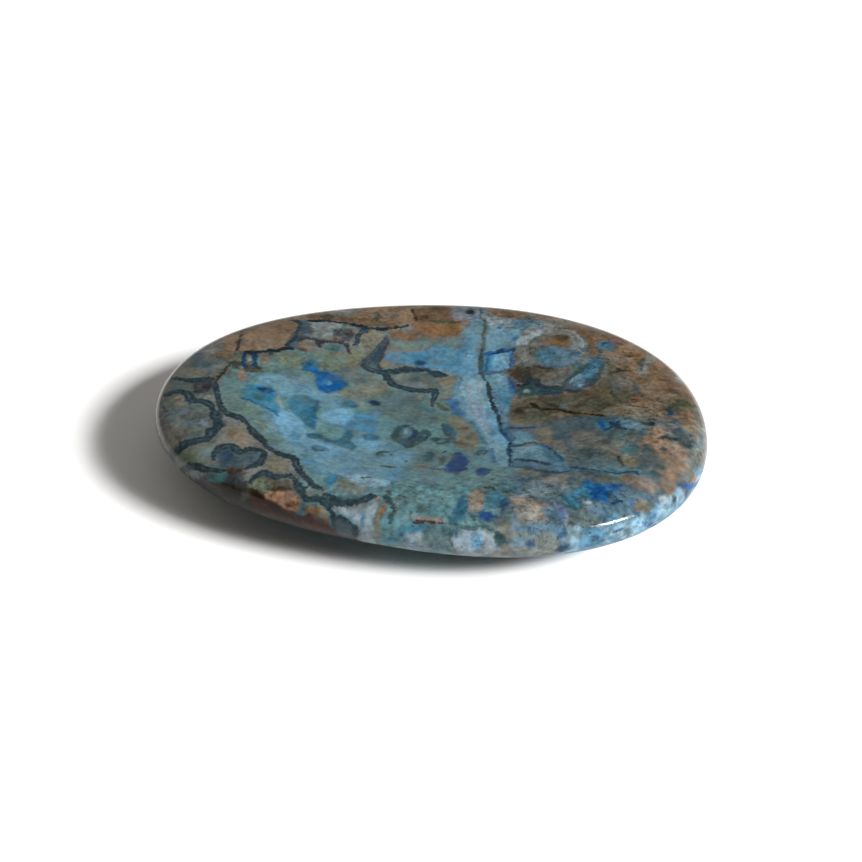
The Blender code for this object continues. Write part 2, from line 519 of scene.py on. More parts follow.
# %% The dark bands round the left end
lay_patches("""
slate 30: -141 -125 0 7 7 7 10 -6 6 4 12 -2 -1 -13 -7 -3 -5 -4 -9 2; navy 60 60: -140 -126 0 8 6 4 5 -5 1 -9 -6 -3;
bark 50: -96 -141 13 -3 8 1 5 -9 11 -12 9 -2 -10 -9 -20 3 -20 8 -9 8
""")
draw_lines("""
band 60: -222 -12 22 -8 5 2 5 0 6 3 6 -2; 50 100 22: -176 -17 10 -26 6 -13 10 -8 12 -4 14 -16 15 -15 4 -6 12 -7 7 -1 6
-3 2 -6 14 -18 20 -16; 50: -49 -152 17 -10 15 4 8 8; 62 100 20: -219 -39 10 -1 6 3 5 0 6 -4 7 -10 7 1 6 -2 9 -11; 88
100 20: -165 -60 11 -19 2 -6 -3 -6 0 -7 -4 -5 -20 -7 -10 1; 60 100 20: -142 -129 0 10 7 9 9 -6 4 1 4 4 12 -2 2 -13 -4
-5 -6 -2; 46 100 20: -116 -146 7 -2 4 2 7 8 10 -3 5 0 8 1 15 -20 12 -1 18 -11; umber 20: -184 77 8 -43; 30: -170 17 -4
-7 -2 -27; 38: -130 -134 8 -4 13 6; 18: -92 -151 6 -3 6 2 6 -2; pitch 40: -170 34 17 4 5 4 5 0 5 4; 55: -143 44 9 6 5
-1; navy 42: -169 34 5 -16 6 -10; 38: -160 37 8 -25; ink 30: -135 48 -1 10 2 12 -4 23 -10 6; pine 26 80: -217 -47 13
-16 5 -2; bark 25 60: -186 -96 7 -5 9 -1; indigo 25 70: -191 -49 5 -5 6 1
""")

# %% [markdown]
# ### The upper left
#
# Brown and rust above a dark line. Below it a grey patch, a ringed eye, small arches over amber, and a dark
# wedge that ends in two lines round a grey lens.

# %% The upper left
lay_patches("""
chalk 100: -140 128 30 -8 22 14 -2 16 -30 -10 -25 -14; ash 80: -132 112 22 10 16 2 -1 -8; brown 50: -133 116 8 -3 2 -8
-7 -1 -5 4; umber 50 70: -123 116 9 -1 4 -7 -10 -2; brown 70: -105 113 15 3 30 -3 10 4 -2 -8 -10 -4 -42 1; 50: -41 124
-4 18 15 13 13 -2 7 -17 4 -8 -26 -3; grey 40: -130 100 5 -8 3 -10 -1 -9 10 -1 11 10 -1 8 11 6 3 3 -21 2; sand 70: -80
98 17 -1 2 -15 -9 -12 -10 6; orange 60: -40 120 18 2 24 3 2 -7 -6 -9 -13 -5 -5 -4 -19 5; 50: -55 102 15 2 5 -7 -8 -5
-10 0; lichen 90: -80 70 7 -5 -3 -13 -38 -2 6 9 18 1; amber 70 70: -18 120 20 3 1 -6 -7 -8 -12 -1; sage 80 80: -34 94
31 10 9 -4 -2 -5 -18 -3 -12 -6 -24 -4 -5 8; lagoon 80: -52 65 2 9 25 10 7 6 13 5 11 1 2 14 6 0 8 -20 -4 -28 -42 2 -14
-2; slate 35: -60 94 3 -9 -1 -20 2 -13 6 -6 -6 -3 -17 10 9 25; smoke 35: -50 45 7 3 8 4 27 2 13 1 4 -10 -9 -12 -5 0
-31 1; grey 50 45: -40 46 10 4 4 -6 12 -1 14 -7 -24 -2 -12 3; sand 40 80: -2 53 12 2 3 -11 -1 -12 1 -8 -8 -4 -5 16 -4
8
""")
dab_spots("""
pine 40 -74 118 25 30 70; 40 -22 42 35 25 60; rust 50 -62 113 50 25 50; olive 40 -39 95 20 25 90; dun 90 -121 58 80 70
80; amber 70 -78 48 60 40 80; sand 60 -52 58 45 40; plum 40 -95 84 75 85 70; 60 -69 55 35 35 80; lilac 50 -122 73 30
20 80; 60 -46 70 50 30 60; smoke 30 -95 85 40 45; umber 50 -36 129 25 30 70; 60 -24 148 50 20 60; 20 -94 86 22 12; 40
-122 53 35 20 80; indigo 30 -85 87 20 25 80; 30 -80 96 30 30; 30 -89 101 35 15 60; rose 30 -98 79 25 20 60; 40 -113 56
30 30; jade 70 -99 64 90 50 90; haze 50 -94 63 30 30 50; navy 35 -24 67 35 18 90 20; petrol 60 -29 75 80 30 60; 50 -9
84 30 30 50; pitch 50 -61 70 20 80 40
""")
draw_lines("""
plum 36: -130 61 2 7 8 2 6 -2 6 -10; 30: -110 63 2 7 14 3 5 -2 5 -11; 25 70: -103 90 0 -8 4 -7 7 0; 25 80: -60 93 2 -8
0 -20 2 -12 5 -5; moss 25: -40 122 38 5; 20 80: -78 130 5 -10; 25 80: 2 15 13 -11; ink 40 100 30: -81 98 -3 -10 2 -8
-3 -8; 30 80 30: -60 93 -1 -9 -9 -30; 30 70: -56 54 -3 10 0 12; band 55 100 30: -72 52 7 -4 15 -4 5 -6 10 -8 23 0 6 2
4 -3 2 -21; 72: -51 48 9 2 9 5 17 3 6 -3 14 1; pitch 34: -134 100 24 3 40 -2 26 12; umber 25: -47 142 8 -23; navy 22
70: -59 86 -6 -30
""")

# %% [markdown]
# ### The pool in the middle
#
# Grey-green and sky blue run into each other here, with one saturated blue island and a few small dark blots.
# A short pale line on the near rim of the thumb hollow is a painted highlight.

# %% The pool
lay_patches("""
lichen 100: -140 42 20 3 34 3 16 -4 -10 -12 -16 2 -28 -10 -16 2; sand 100 80: -80 40 15 3 27 -21 -27 -22 -13 6 8 14;
haze 100: -134 10 28 2 6 -10 20 -4 4 -14 -12 -6 -6 10 -16 0 -10 -10 -4 16 -20 2; cyan 60: -151 -19 11 5 13 -4 8 -17 6
-10 -3 -4 -10 4 -22 10; teal 60: -109 -14 16 1 5 -9 0 -10 8 -28 -14 11 -16 13; royal 35: -106 29 7 -1 6 2 17 -11 -10
-17 -12 4 -3 8; petrol 60 90: -94 -28 5 -2 8 -31 -16 15; 50: -119 33 6 10 5 0 4 -7 -1 -7 -8 -4; sky 50: -120 -28 12
-12 16 -13 9 -19 0 -13 -5 -5 -8 4 -16 22 -4 10 3 8; aqua 70: -76 -42 16 0 4 -14 -4 -12 -12 -1 -7 9; petrol 50: -82 -74
4 9 10 -4 8 2 3 15 5 4 3 -16 6 -10 1 -9 -8 4 -20 3; lagoon 70: -64 -20 20 0 8 -12 -2 -14 -14 -2 -11 6; sky 70 90: -80
-26 16 6 5 -10 -4 -10 -15 0; haze 100: -48 -50 23 -6 10 -10 19 -2 2 -16 -10 -26 10 -20 -26 -6 -40 8 -23 24 3 22 30 -2
10 10; sky 80 70: -76 -80 16 -3 10 -9 -6 -12 -16 8; 80 70: -45 -58 15 -4 2 -14 -12 2 -8 8; lagoon 90 60: -10 -102 14
-4 4 -18 -12 -6 -6 10; ice 50: -32 -126 16 2 14 -4 -2 -10 -22 -2; smoke 80 50: 4 -60 18 0 8 -20 -10 -22 -14 4; sand 80
60: -42 -136 14 -1 10 -7 -2 -8 -16 0; 60 90: 18 0 8 -2 17 -20 7 -30 -14 -1 -7 9 1 10 -4 10 -10 14; violet 45: 38 -62
10 -14 -4 -26 -7 2 -6 7 2 23; 60: 37 -70 9 -4 0 -14 -6 -9 -7 5; pine 50 80: -42 -151 12 -4 13 1 5 5 -1 -7 -21 -3;
slate 40: 12 -14 15 -15 1 -11 -6 2; ink 40 85: -15 -25 11 -9 7 4 3 -6 -1 -10 -5 -6 -1 -8 -5 -1 -13 11 -2 10; storm 120
60: -45 24 39 0 6 -14 6 -14 -6 -16 -35 5
""")
dab_spots("""
sky 20 -89 16 14 25 60 20; sage 40 30 -106 40 35; umber 50 32 -20 50 35 70; violet 40 62 -93 50 75; peach 30 -7 -154
22 40 80; jade 60 -136 -30 45 60 80; 50 -136 12 20 40 70; 50 14 -75 40 85; 50 -54 -63 30 60 60; indigo 30 -132 -20 38
38; 35 -48 1 50 42; navy 40 -112 37 20 30 70; 40 -99 26 40 15 50 -10; 30 -136 -18 20 15; 30 -48 1 30 30; steel 60 -40
-13 40 30; 60 -30 -113 50 35 70; 70 94 -106 70 60 80; lagoon 60 -126 -38 50 40; 80 106 -83 160 35 80 -5; brown 50 42
-48 50 30 50; 50 14 -93 45 40 60; royal 50 -107 29 40 25 80; 60 -84 -49 25 50 50 20; 60 56 -51 50 50 50; rose 100 -116
7 70 30 40; cyan 30 -93 17 25 45 60 10; 50 -90 -82 35 50 60; 35 -45 -136 35 65 100 12; storm 50 -100 -18 60 30 60 -20;
100 -124 14 100 70 60; 120 -74 32 130 90 80; 80 13 -150 60 60 80; plum 40 -90 -20 12 50 50 15; pine 40 16 -43 45 30;
50 -21 -82 35 30 60; 60 -68 -92 50 30 60; petrol 35 -65 -8 45 40; 70 -76 -106 20 70 40; cyan 30 -64 -8 25 25 60; teal
50 -72 -11 30 25 70; 80 -70 -115 60 50 50; fawn 60 -59 -1 30 40 50; storm 70 -93 -109 70 25 70; olive 60 -22 14 50 30
50; 40 27 -79 18 70 100 8; sand 50 -13 20 20 50 60; teal 60 -2 5 50 35 80; slate 50 6 -9 30 25 70; 40 24 -46 40 30 70;
moss 40 33 -45 60 25 80; olive 50 41 -32 30 80 60; haze 30 -12 -39 40 90 45 12; jade 30 1 -36 25 40 60; pine 30 -20
-38 25 80 70; petrol 60 -34 -53 60 45; 50 19 -23 40 80 80 25; ice 20 -13 -36 8 30 60 12; haze 30 4 -37 13 40 70
""")
# The mist line from -48 -128 is a painted highlight: the glint along the near rim of the thumb hollow.
draw_lines("""
pine 34 70: -12 -24 -8 -8 -1 -9 3 -9 6 -6; 26 80: 12 -15 5 -14 6 -5; 24 80: 12 -43 4 -6 6 2 2 5 -4 2; 26 90: -2 -30 5
0 3 -5 0 -7 -7 -14; 22: -24 -83 1 5 5 3 4 -2 1 -3; 18 70: 11 -67 4 2 3 -12 -4 -5; 18: 23 -65 4 6; 26: -17 -99 3 -3 10
3; 22 70: -74 -92 5 -3 5 3; 20: -25 -130 6 4 2 -1; 18 70: 0 -84 0 -5; 36 100 20: -3 -148 12 -14 -1 -7; cream 14 40:
-122 -20 4 -11 6 -8; 14 35: -130 -62 18 -22; brown 18 70: 26 -22 4 2 4 0 2 -4; 16 70: 32 -34 3 -5 -1 -7; petrol 22 90:
-150 -37 28 -9 7 -4 3 -4; navy 20 80: -11 -26 5 -7 1 -9 -3 -8; slate 22: 21 -95 6 0 5 2; mist 12 60: -48 -128 16 -3;
orange 30 80: 1 -160 -1 -7 1 -9; moss 20 80: -2 -142 5 -8
""")

# %% [markdown]
# ### The blue vein
#
# A crack that opened and filled with pale blue quartz, then cracked again down its middle as a thin dark line.

# %% The vein and its cracks
lay_patches("""
lilac 80 80: -13 165 1 -25 6 -10 13 0 6 10 -2 25; mist 90 85: 16 144 26 -4 2 -14 -18 -3; orange 80 80: 20 168 0 -18 6
-7 16 0 12 9 -2 16; steel 80: 44 140 26 2 -6 -10 -12 -6 -8 4; haze 80: 25 124 21 2 8 -8 2 -14 -29 -14; 80 80: 5 130 11
3 6 -13 1 -20 -7 -10 -7 10; 60: 12 57 13 3 22 4 5 -8 8 -11 3 -13 0 -17 5 -28 10 -22 1 -25 1 -20 -11 0 -16 32 -4 16 -7
14 -16 18 -9 4 -10 16 7 4 1 11; grey 90 70: 58 138 26 4 2 -12 -12 -8; mist 50: 52 104 4 12 14 11 1 -8 -7 -7 -3 -8;
lagoon 70 80: 50 60 9 -14 4 -16 -1 -12 -7 -2 -8 24; sky 70 70: 10 88 12 0 4 -28 -10 -2 -5 12; royal 60 75: 8 21 8 -1
13 -20 -7 0 -7 7; ice 90 80: 22 52 10 2 7 -18 15 -60 12 -22 4 -28 -22 46 -22 44; sky 70 80: 44 30 8 -14 10 -32 10 -20
2 -24 -22 46; 40: 28 88 10 3 10 5 2 -7 3 -17 -19 -9; haze 50: 75 -19 11 -3 11 -17 -9 0 -5 -5 -6 3; 45: 78 -49 16 7 16
-8 12 -20 2 -10 -12 2 -24 8 -8 2; lilac 100 40: 26 18 12 -2 6 -12 -8 -6; cyan 60 90: 28 87 7 2 2 -13 -3 -10 -5 6;
royal 60 60: 69 -13 7 0 14 2 1 -5 -19 -4; teal 80 60: 99 -45 9 -4 13 -21 0 -9 -11 7; steel 50: 82 -72 13 -3 27 -7 10 2
0 -6 -17 -3 -15 6 -14 5
""")
dab_spots("""
pitch 40 4 146 30 35; 40 1 152 15 40 60; sky 100 54 -20 90 240 60 25; lagoon 60 46 -24 25 130 80 25; indigo 50 64 -22
30 70 80 25; teal 60 56 -24 40 30 70; fawn 60 3 126 40 40 70; umber 50 39 149 20 35 60; petrol 50 62 140 30 30 70;
mist 30 59 122 25 15 80; sage 70 24 70 15 90 60; royal 50 56 52 30 25 60 -30; 50 60 42 12 60 60 10; 30 49 111 20 15
70; ice 80 49 52 40 70 60 20; 80 66 -50 40 160 40 12; royal 60 65 -66 20 80 40 15; ice 80 86 -54 50 80 40; jade 60 59
-4 20 70 60 25; 50 77 -42 25 25 70; royal 60 101 -49 30 50 40 20; pine 50 54 -61 35 30 70
""")
draw_lines("""
navy 44: 29 88 20 8 1 -4; 36 80: 50 92 3 -20; 34 80: 60 -12 6 -14 8 -13; 20: 73 -38 7 -43; 20 50: 31 64 7 -1 12 3; 18
85: 74 -43 5 -1 12 5 18 -13 11 -20; 16 80: 66 -16 16 1 8 2; 36: 80 -69 17 -2 16 -7; 24 70: 79 -79 7 -3 8 -1 8 -5 13 -3
10 2 5 5; 22 85: 126 -82 34 0 13 3 6 -3; 16 50: 14 56 2 -6 -1 -6; pine 20 75: 9 159 5 -11 0 -8 7 -14 3 -31; 26: 24 96
4 -26 5 -14 5 -7; 34 90: 26 84 3 -18 3 -8; 12 80: 51 -57 2 3 4 -1 -1 -8 -4 1 -1 5; 18 60: 152 -77 14 -5; 20 60: 62 105
11 15; indigo 24 70: 31 88 2 -23; 22 70: 33 64 15 3; 26 60: 52 61 9 -15 3 -8; 26 60: 66 -16 10 -20; 28 50: 58 -48 4 -8
5 -20; mist 22 70: 20 48 6 -12 8 -24 20 -44; 14 60: 30 52 16 -56 12 -32; royal 38 90: 26 89 12 3 12 6; 40 60: 49 98 1
-8 4 -16; ink 23: 36 52 26 -67; steel 16: 44 44 19 -52; petrol 28 60: 34 -6 22 -40; ice 30 70: 16 50 8 -22
""")

# %% [markdown]
# ### The eyes and the right end
#
# Right of the vein the stone is tan and olive again, with a large banded eye, a small one beside it and a teal
# lens between thick dark strokes. Below a straight fault line it turns blue-grey, pink and deep blue.

# %% The eyes and the upper right
lay_patches("""
chalk 90 60: 68 145 14 11 38 -6 10 -11 -16 -3 -19 8 -15 -8; mist 80 80: 191 73 3 15 5 -2 -2 -17; grey 60 80: 74 90 -2
20 6 14 16 8 10 -4 10 -20 -8 -26 -16 -6 -12 3; bark 60 90: 52 72 10 4 24 -4 -8 -20 -24 10; umber 50 60: 53 69 7 1 10
-6 8 -8 -5 -6 -17 12; steel 50: 74 100 10 3 10 -5 12 0 3 -10 -6 -10 -12 -3 -11 4 -6 10; storm 60 50: 86 84 12 5 10 -3
-6 -8 -10 -2; amber 50: 79 109 3 9 8 5 7 -5 3 -8 -3 -8 -7 3 -6 0; dun 50: 73 103 0 12 6 6 5 -7 -2 -9; olive 90: 66 32
14 -2 40 10 12 10 3 20 -3 14 8 -8 6 -26 14 -14 -4 -22 -16 -11 -40 -1 -30 -6; sand 100 70: 142 14 18 6 22 -4 6 -10 -44
-4; lichen 80 80: 70 -6 20 0 6 8 -10 4 -16 -2; smoke 80 60: 140 62 12 -2 4 -12 -8 -10 -8 8; tan 80: 136 120 20 0 3 -38
-13 -4 -10 12 4 14; grey 50 80: 160 71 1 15 7 26 6 -2 -4 -14 -4 -26; slate 40: 100 47 3 9 16 24 5 9 5 1 1 -10 -2 -10 0
-10 -8 -17 -15 -1; steel 80 80: 124 89 6 3 0 -14 -8 -18 -5 6; haze 60 70: 106 50 9 16 5 -14 -4 -6; jade 50 80: 103 74
7 4 6 -2 -3 -6 -6 -2; pine 50: 67 52 9 5 7 -8 11 -3 8 2 0 -8 -12 -4 -20 -5 -5 8; moss 60: 188 22 20 12 8 10 -4 -12 -18
-13
""")
dab_spots("""
grey 30 72 40 35 42; soot 50 73 10 50 25 80; brown 40 152 100 25 35 90; 60 72 4 50 30 70; umber 50 88 117 70 50 70; 40
93 111 30 50 50; 35 147 96 25 15 70; 50 178 72 40 20 50 -20; 40 183 64 30 15 40; 50 194 48 35 20 60; 50 119 19 50 35
70; orange 40 94 108 30 25 50; 50 164 29 30 40 60; 30 54 64 25 12 80 -20; 70 125 34 40 60 50; lilac 50 74 106 20 30
50; tan 50 118 112 20 120 100 12; rose 50 137 124 45 40; slate 50 163 43 25 50 80; rust 50 190 57 30 25 50; moss 60
202 33 90 40 90 20; olive 60 88 60 80 80 60; 80 202 26 70 40 70 30; steel 50 129 111 75 85 100 -10; 80 102 84 90 70
60; petrol 60 82 89 70 50 60; fawn 60 107 6 60 35 70; teal 30 128 112 35 50 60; 70 119 64 60 60 70; indigo 20 127 114
12 22; jade 30 132 110 22 40 70; blush 40 136 124 50 55 80; amber 60 156 94 35 35 70; 30 126 128 35 30; sand 80 140 89
50 70 70; 80 115 31 50 50 40; 80 214 4 40 120 60; pitch 30 146 72 36 30; 30 162 76 10 30 70; pine 40 161 88 10 50 50;
40 107 62 30 70 70 -20; ice 25 116 48 25 15 70 20; 20 113 59 10 35 60 20; dun 40 117 123 40 50 70; teal 60 124 80 40
70 70; smoke 60 106 20 30 50 50
""")
draw_lines("""
umber 20 80: 138 68 11 4 7 0; 25: 71 77 7 -3 13 -2; 28: 55 66 13 -7 6 0; 22: 63 70 9 -7; 14 70: 158 17 16 0; 14 60:
187 49 6 -3 6 3; moss 25 80: 63 97 6 2 3 -3; 30 60: 70 26 20 6; 25: 143 40 10 -20; 20 70: 132 26 11 -7; 30 80: 190 24
18 10 5 7; soot 20: 89 14 15 0 8 -4 30 -9; 20: 78 23 11 -9; 16 70: 86 29 12 -9 6 -2; 16 70: 68 12 6 3 8 -1; brown 30
70: 90 136 8 -1 8 -6 9 -19 1 -8; 28: 83 130 11 6 11 -4 9 -12 4 -16; 14 50: 82 123 7 5 7 -1 5 -6 2 -9; pine 16: 72 47
-4 -3 0 -5 2 -4 4 -1 4 3 -2 9 -4 1; 22 80: 101 49 2 7 16 24; 22 80: 125 50 3 9 2 21; ink 46: 64 64 12 -9 9 -9 8 -1 7
2; 30 80: 96 45 17 -5 7 1; pitch 22 60: 70 56 8 3 4 -3; 28: 60 51 6 -2 7 3; mist 14 50: 76 124 6 6 8 2 9 -3 10 -14 1
-11; steel 20 70: 86 82 8 -2 8 4 6 8; slate 14 70: 98 130 6 -4 7 -13 -1 -17; storm 14 60: 122 112 2 7 5 2 5 -3 2 -7 -2
-7 -6 -2; jade 14 70: 73 97 2 -10 7 -8 10 -4 10 2; navy 30 80: 82 40 6 1 7 -3 8 1; lichen 30 60: 105 78 15 16; ice 12
70: 107 51 2 8 5 6; rust 14 60: 204 4 4 7 6 5
""")

# %% The right end and the lower right
lay_patches("""
storm 70: 94 -5 36 7 30 -4 17 -4 1 -10 -22 -20 -11 3 -10 13 -15 0 -15 -20 0 18; teal 60: 132 -3 18 -5 0 -20 -16 18;
royal 80 50: 138 -6 5 -1 6 -17 -9 10; haze 60 80: 158 -5 14 -1 0 -11 -13 -1 -9 8; ash 70: 118 -23 12 2 10 -5 4 -12 5
-10 -15 -3 -10 5; sand 50: 90 -18 6 4 8 -6 2 -14 -4 -7 -6 8; 80 60: 154 -38 10 -1 -6 -31 -6 4 -2 16; fawn 50: 180 -12
9 0 1 -10 6 -9 10 -2 8 -9 0 -12 -5 -14 -5 -12 -8 6 0 18 -8 8 -4 8 -9 3 1 9 4 6; jade 60 80: 161 -45 7 4 7 -3 -3 -7 -8
-2; slate 60 60: 174 -42 10 -1 4 -23 -8 -8 -6 10 4 12; sand 60 80: 162 -56 11 0 3 -10 -4 -6 -7 2; aqua 80 60: 136 -78
14 4 30 -2 4 -6 -20 -4 -24 0; rose 70: 174 -84 12 0 6 -10 -2 -8 -12 1 -6 9; fawn 50 70: 196 -82 12 2 0 -12 -10 0;
royal 40: 140 -97 15 -4 7 5 6 -4 1 -8 -7 -4 -2 -8 -8 -2 -8 3 -6 15; cyan 70 50: 139 -99 10 -3 -3 -16 -5 6; teal 60:
134 -110 6 4 8 -14 -8 -16 -14 12; lilac 60 60: 146 -128 12 2 -2 -10 -12 0; steel 100 70: 168 -98 24 -8 -12 -16 -20 -8;
90 70: 146 -127 14 2 0 -9 -12 -2; rose 80 60: 103 -102 22 9 1 -17 -21 0; sand 70 70: 88 -89 12 3 8 -6 -4 -7 -12 0; 70:
180 -116 6 7 8 1 0 -7 -8 -7; aqua 70 70: 78 -110 12 2 9 -10 -3 -12 -14 0; rose 90 90: 94 -129 16 -1 9 -7 1 -11 -7 -8
-9 1 -8 9; 50: 62 -128 9 -2 0 -18 -5 -7 -6 9; lilac 50: 118 -126 7 -4 7 -9 3 -13 -7 0 -4 12 -5 7; teal 50 90: 73 -129
9 0 2 -11 -4 -8 -7 2; steel 90 50: 94 -108 36 2 -4 -22 -30 0; grey 90 60: 98 -112 28 2 -2 -14 -24 -2; petrol 45: 53
-140 6 -4 2 -12 -4 -9 -7 0; pine 60 40: 54 -146 4 -3 1 -7 -4 -7 -4 5
""")
dab_spots("""
pine 50 193 -64 20 50 80 20; 50 191 -75 40 30 70; 50 84 -123 40 30 50; umber 40 140 -89 55 22 70 20; 40 94 -87 30 20
60; cyan 40 174 -22 20 25 70; amber 50 167 -64 30 30 60; olive 50 153 -93 70 30 80 15; orange 50 170 -88 30 30; mist
40 146 -125 42 34; milk 25 147 -125 22 16; sage 50 141 -122 30 30 60; lagoon 50 167 -131 40 20 80 15; sand 50 65 -139
40 90 50; indigo 50 135 -52 40 20 40; 40 86 -145 28 70 80; violet 40 77 -157 60 50; haze 40 81 -152 35 30; moss 50 30
-159 40 20 70; storm 80 139 -60 120 60 60; 40 56 -139 30 25; 70 94 -106 40 80 50; navy 35 152 -14 42 42; 35 163 -100
25 40 80 20; ink 35 174 -7 35 25; 20 193 -42 20 15; pitch 30 180 -6 38 34; slate 50 195 14 50 70 80; 50 111 -29 35 80
80; navy 35 194 12 36 42; rose 50 130 -25 40 20 50; ink 40 179 -1 35 20 80 20; slate 50 198 3 45 60 90; ink 35 193 1
25 20 80; slate 50 201 -8 35 60 80; storm 50 205 -22 100 50 80; ink 30 193 -24 32 16; 30 201 -25 45 22 100 -20; 30 211
-30 35 22; slate 60 204 -14 60 50 80; steel 40 159 -105 30 30 60; slate 40 166 -105 40 40 50; steel 60 165 -110 40 35;
royal 50 179 -116 40 30 50; 40 128 -142 25 40 60 15; cream 70 108 -144 70 80 80
""")
draw_lines("""
pine 18 80: 166 -43 4 2 4 -3; 16 70: 176 -39 5 -3 3 -6; 22 80: 113 -124 12 3 11 -13 4 -3; 16 70: 59 -153 11 -11; 16
50: 133 -86 23 1; navy 24: 147 -8 15 -12; 18: 146 -22 9 15; 22: 160 -126 4 5 7 5; 15 40: 124 -10 3 -6 5 -3; umber 16:
160 -58 6 -14; 28: 68 -123 8 1; 12 60: 182 -33 4 1 1 -4; royal 22 80: 139 -6 6 -14 -1 -5; slate 20 60: 108 -34 4 8 7 7
""")
print("painted", COUNT, "points;", int((line_half > 0).sum()), "of them lie by a line")

# %% [markdown]
# ### The near edge
#
# Round the near side the lace turns over the edge. The same brushes work here, but the places now count along
# the outline, from the middle of the near side to the right, and upwards from the face's rim. The edge is painted
# darker on the left, partly with painted shade, and paler on the right, partly with a painted reflection of the lit
# floor.

# %% The near edge
face_plan, plan = plan, edge_plan
over = (down > 0) & (np.abs(plan[:, 0] - 1.0) < 33)
line_depth[over], line_half[over], line_away[over] = -9.0, 0.0, 2.0
# At the left, the soot patch on the band 1.5 to 5 mm down over the edge is partly the stone's dark brown and partly
# painted shade on the side turned from the lamp. At the right, from 13.5 mm along, the ice patches are partly the
# stone's pale blue and partly a painted reflection of the lit floor on the side that faces the lamp.
lay_patches("""
ash 60: -330 2 132 0 0 -52 -132 0; lichen 60: -198 3 32 0 2 -7 -16 -12 -14 -34 -16 0; jade 50: -160 3 14 3 14 -4 -2
-14 -12 -7 -8 5; soot 70: -185 -24 35 9 26 17 12 -5 46 -13 30 -6 10 -28 -154 0; plum 50 90: -138 8 10 0 10 -12 -10 -5
-10 3; lichen 50: -116 8 16 0 6 -6 -2 -7 -16 1; peach 50: -100 -4 8 6 10 2 9 -4 4 -9 -7 -6 -20 6; blood 45: -108 -6 20
-9 20 -2 1 -8 -17 -3 -20 6; amber 40: -65 -6 6 2 13 -8 -19 -2; blood 50: -67 -15 18 2 7 -5 -2 -10 -10 -6 -14 4; slate
40: -39 -14 7 1 5 -5 0 -12 -9 -2 -4 8; mist 50 80: -44 3 12 -4 10 4 11 9 4 -22 0 -40 -18 0 4 30 -3 10 -8 3; sand 35:
-9 9 5 -3 2 -26 -1 -30 -5 0 -1 30; aqua 80: -2 4 22 -2 30 -2 0 -50 -52 0; teal 60 80: 9 -9 17 5 4 -3 -14 -9 -12 -10 -4
6; mist 70 80: 14 -18 12 4 6 -6 0 -20 -22 0; storm 60 70: 30 -4 16 1 3 -9 -2 -18 -13 4; grey 80: 84 4 56 -2 6 -12 -2
-30 -60 0; sand 80: 86 6 10 -2 -4 -28 -6 4; mist 50: 51 -10 5 6 8 2 10 -2 6 -8 0 -10 -6 -12 -14 -2 -9 12; steel 50 80:
125 20 9 0 1 -20 -2 -14 -5 0 -2 14; ice 60 80: 135 -2 11 -1 -1 -17 -5 -20 -6 0 2 20; 90: 148 -12 47 2 49 6 -4 -10 20 2
50 0 6 -8 -36 -30 -140 0; lagoon 60 70: 200 -12 14 -4 12 -10 -12 4 -12 2; 50: 145 -9 15 -1 4 -8 -8 -8 -11 2; 50 80:
270 -4 15 -6 15 -14 -28 12; royal 50 80: 243 -1 7 -1 6 -7 2 -9 -6 2; rose 60 80: 296 -10 14 0 2 -8 -12 -2; grey 80 80:
270 6 30 -2 30 2 40 -2 10 -24 -50 6; olive 80 70: 335 4 35 -2 10 -16 -40 6
""")
dab_spots("""
navy 30 -40 -15 25 40; 30 132 -23 45 30 100 -20; 20 155 -17 25 20 80; royal 30 106 -16 35 35 80; 25 172 -15 40 18;
indigo 30 131 -8 30 30 70; 20 248 -16 30 30 80; ink 30 -202 -14 40 30; rose 80 -220 -6 160 50 60; brown 40 -90 -3 40
30 50; teal 25 -18 -8 16 70; peach 30 32 4 120 15 70; sky 50 69 -16 50 90; pine 40 84 -12 35 50; steel 80 114 0 160 50
80; 50 98 -14 60 50 70; sand 50 201 0 60 50; lagoon 40 203 -13 50 30; storm 40 183 -20 25 70 70 30; mist 50 221 -5 45
50; tan 40 232 3 35 70; umber 30 -80 1 20 15 50; 30 230 -11 25 20; rust 40 -76 -9 40 30 40; petrol 30 -66 -10 22 90;
orange 30 -46 -14 20 35; 40 -58 -9 40 20; sage 30 -59 -4 50 20 80; jade 50 276 -2 60 30 60
""")
draw_lines("""
pine 22: -260 6 -8 -6 -28 -14; 22 80: 2 5 2 -13; 34 80: 46 2 16 -4 10 2 8 -3 5 -6 0 -6; 16 70: 50 -5 -2 -7 5 -16; band
75: -195 6 -2 -13 -3 -6; 70 100 20: -144 3 -30 -14 -16 -15 -10 -6; 45: -72 3 6 -3 6 2 6 -1 11 -7 4 -5 5 1 10 -7 -2
-13; royal 25 70: 190 -12 26 -18; 30 80: 250 -9 30 -15; lagoon 30 70: 160 -14 24 -18; steel 30 70: 216 -10 18 -8 14
-10; soot 40 80: -114 -3 30 -15 12 -3; blood 26 90: 19 -2 9 2 18 2
""")
plan = face_plan
print("points over the near edge:", int(over.sum()))

# %% The paint goes onto the mesh
for name, colours, fourth in (("ground", paint, np.ones(COUNT)), ("line_tone", line_tone, line_strength)):
    layer = stone.data.attributes.new(name, "FLOAT_COLOR", "POINT")
    layer.data.foreach_set("color", np.column_stack([colours, fourth]).astype(np.float32).ravel())
for name, numbers in (("line_away", line_away), ("line_half", line_half), ("line_core", line_core),
                      ("speck_zone", speck_zone)):
    layer = stone.data.attributes.new(name, "FLOAT", "POINT")
    layer.data.foreach_set("value", numbers.astype(np.float32))
print("kept on the mesh:", [layer.name for layer in stone.data.attributes if not layer.is_internal])

# %% [markdown]
# ## The finish
#
# Agate's own optical index is about 1.54, but in a wide white room that much gloss greys its dark tones, so it
# has less here. The grain is too fine to place by hand: clouds a millimetre across, flecks a few tenths across,
# and warm and cool drifts, all in Object coordinates so that they run through the stone like real layers.

